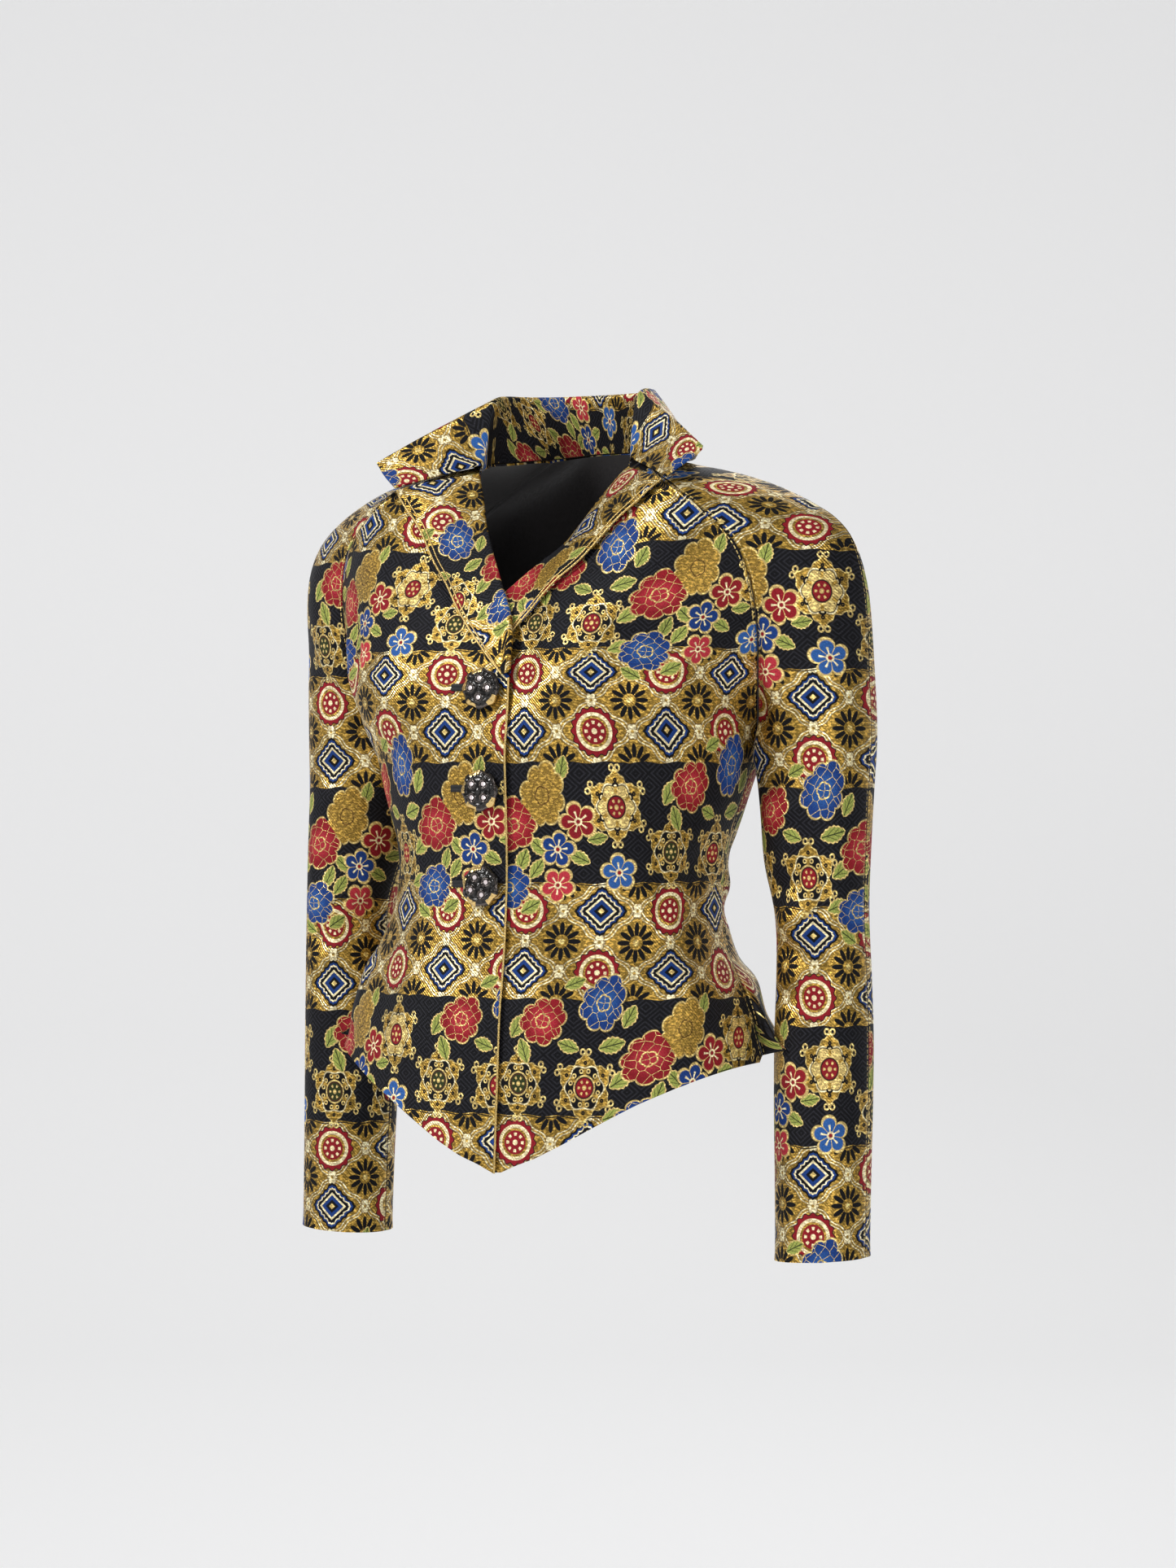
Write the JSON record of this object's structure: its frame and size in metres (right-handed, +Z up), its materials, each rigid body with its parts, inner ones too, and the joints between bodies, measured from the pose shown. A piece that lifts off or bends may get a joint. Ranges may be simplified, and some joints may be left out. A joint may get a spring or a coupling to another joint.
{
  "type": "evening jacket",
  "caption": "Fitted evening jacket in gold and black floral brocade, with raglan sleeves, notched collar, jewelled button front and flared, pointed hem, in its worn form.",
  "frame": {"origin": "middle of the neckline, level with the top of the shoulder seams, where the wearer's shoulders hold the jacket", "axes": "+Z up, front faces -Y, +X to the wearer's left"},
  "size_m": [0.4896, 0.2774, 0.6629],
  "materials": {
    "brocade": "jacquard brocade, metallic gold bands and black damask bands with coloured flowers, soft sheen",
    "button": "black enamelled relief with clear stones and gilt flecks, glossy",
    "binding": "black satin binding"
  },
  "bodies": {
    "root": {"front_right": "brocade", "front_left": "brocade", "back_right": "brocade", "back_left": "brocade", "sleeve_front_right": "brocade", "sleeve_front_left": "brocade", "sleeve_back_right": "brocade", "sleeve_back_left": "brocade", "collar": "brocade", "lapel_right": "brocade", "lapel_left": "brocade", "button_1": "button", "button_2": "button", "button_3": "button", "buttonhole_1": "binding", "buttonhole_2": "binding", "buttonhole_3": "binding"}
  },
  "joints": []
}
